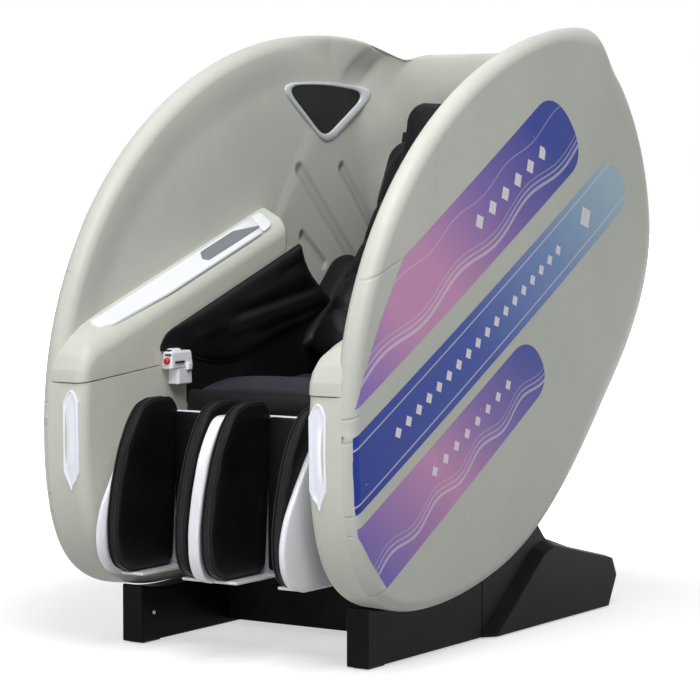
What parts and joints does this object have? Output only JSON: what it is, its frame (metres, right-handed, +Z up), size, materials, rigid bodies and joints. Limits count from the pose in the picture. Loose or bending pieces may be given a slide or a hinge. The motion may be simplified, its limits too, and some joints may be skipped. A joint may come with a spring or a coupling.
{
  "type": "massage chair",
  "caption": "Pay-per-use massage chair: two leaf-shaped side shells joined by a hood round a padded seat and back, with a lifting calf rest, payment reader and black base.",
  "frame": {"origin": "centre of the overall box, on the floor under the rubber feet", "axes": "+X to the sitter's left, -Y the way the sitter faces, +Z up"},
  "size_m": [0.7484, 1.271, 1.236],
  "materials": {
    "shell": "satin moulded, warm light grey",
    "white_gloss": "gloss white moulding",
    "light_lens": "milky gloss lens",
    "inset_grey": "satin grey inset",
    "leather": "black, fine grain, piped seams",
    "speaker_cloth": "fine black grille",
    "bezel": "bright silver paint",
    "base_plastic": "black, fine texture",
    "frame_steel": "dark powder coat",
    "bright_steel": "bright drawn",
    "feet_rubber": "matte",
    "wheel_tyre": "matte",
    "box_plastic": "matte",
    "pump_metal": "cast, bead blasted",
    "roller_nylon": "natural nylon",
    "button_red": "gloss red"
  },
  "bodies": {
    "chassis": {"left_side_frame": "frame_steel", "right_side_frame": "frame_steel", "frame_crossbars": "frame_steel", "left_skirt": "base_plastic", "right_skirt": "base_plastic", "cross_panel": "base_plastic", "left_boot": "base_plastic", "right_boot": "base_plastic", "rear_base_panel": "base_plastic", "rubber_feet": "feet_rubber", "left_side_shell": "shell", "right_side_shell": "shell", "left_inner_liner": "shell", "right_inner_liner": "shell", "left_pillar": "shell", "right_pillar": "shell", "left_light_bar": "light_lens", "right_light_bar": "light_lens", "left_armrest": "shell", "right_armrest": "shell", "left_arm_panel": "white_gloss", "right_arm_panel": "white_gloss", "arm_insets": "inset_grey", "left_arm_pad": "leather", "right_arm_pad": "leather", "left_speaker": "speaker_cloth", "right_speaker": "speaker_cloth", "speaker_bezels": "bezel", "rear_cover": "shell", "hood_liner": "shell", "service_panel": "base_plastic", "seat_pan": "frame_steel", "seat_cushion": "leather", "knee_cushion": "leather", "back_board": "base_plastic", "back_cushion": "leather", "head_pillow": "leather", "left_track": "frame_steel", "right_track": "frame_steel", "payment_reader": "white_gloss", "power_inlet": "base_plastic", "control_box": "box_plastic", "air_pump": "pump_metal", "wheel_axle": "bright_steel"},
    "calf_rest": {"calf_shell": "white_gloss", "left_outer_calf_pad": "leather", "left_inner_calf_pad": "leather", "right_inner_calf_pad": "leather", "right_outer_calf_pad": "leather", "calf_back_pads": "leather", "calf_hinge_arms": "frame_steel"},
    "actuator_body": {"actuator_body": "box_plastic"},
    "actuator_rod": {"actuator_rod": "bright_steel"},
    "carriage": {"massage_carriage": "frame_steel"},
    "drive_shaft": {"drive_shaft": "bright_steel"},
    "kneading_shaft": {"kneading_shaft": "roller_nylon"},
    "stop_button": {"stop_button": "button_red"},
    "left_wheel": {"left_wheel": "wheel_tyre"},
    "right_wheel": {"right_wheel": "wheel_tyre"}
  },
  "joints": [
    {"name": "calf_lift", "type": "hinge", "parent": "chassis", "child": "calf_rest", "pos_m": [0, -0.3615, 0.44], "axis": [-1, 0, 0], "range_deg": [0, 70]},
    {"name": "actuator_tilt", "type": "hinge", "parent": "chassis", "child": "actuator_body", "pos_m": [0, -0.1265, 0.262], "axis": [-1, 0, 0], "range_deg": [0, 1]},
    {"name": "actuator_stroke", "type": "slide", "parent": "actuator_body", "child": "actuator_rod", "axis": [0, -0.9012, 0.4334], "range_m": [0, 0.076]},
    {"name": "carriage_travel", "type": "hinge", "parent": "chassis", "child": "carriage", "pos_m": [0, -0.3215, 1.243], "axis": [1, 0, 0], "range_deg": [-11, 11]},
    {"name": "drive_spin", "type": "hinge", "parent": "carriage", "child": "drive_shaft", "pos_m": [0, 0.34988, 0.61693], "axis": [1, 0, 0], "range_deg": [-350, 350]},
    {"name": "kneading_spin", "type": "hinge", "parent": "carriage", "child": "kneading_shaft", "pos_m": [0, 0.3882, 0.7139], "axis": [1, 0, 0], "continuous": true},
    {"name": "stop_press", "type": "slide", "parent": "chassis", "child": "stop_button", "axis": [0, 1, 0], "range_m": [0, 0.002], "stiffness_N_per_m": 600, "springref_m": -0.001},
    {"name": "left_wheel_spin", "type": "hinge", "parent": "chassis", "child": "left_wheel", "pos_m": [0.1987, 0.4285, 0.045], "axis": [1, 0, 0], "continuous": true},
    {"name": "right_wheel_spin", "type": "hinge", "parent": "chassis", "child": "right_wheel", "pos_m": [-0.1987, 0.4285, 0.045], "axis": [1, 0, 0], "continuous": true}
  ],
  "couplings": [
    {"joint": "actuator_tilt", "follows": "calf_lift", "ratio": 0.0105},
    {"joint": "actuator_stroke", "follows": "calf_lift", "m_per_rad": 0.0614},
    {"joint": "drive_spin", "follows": "carriage_travel", "ratio": -31.6}
  ]
}
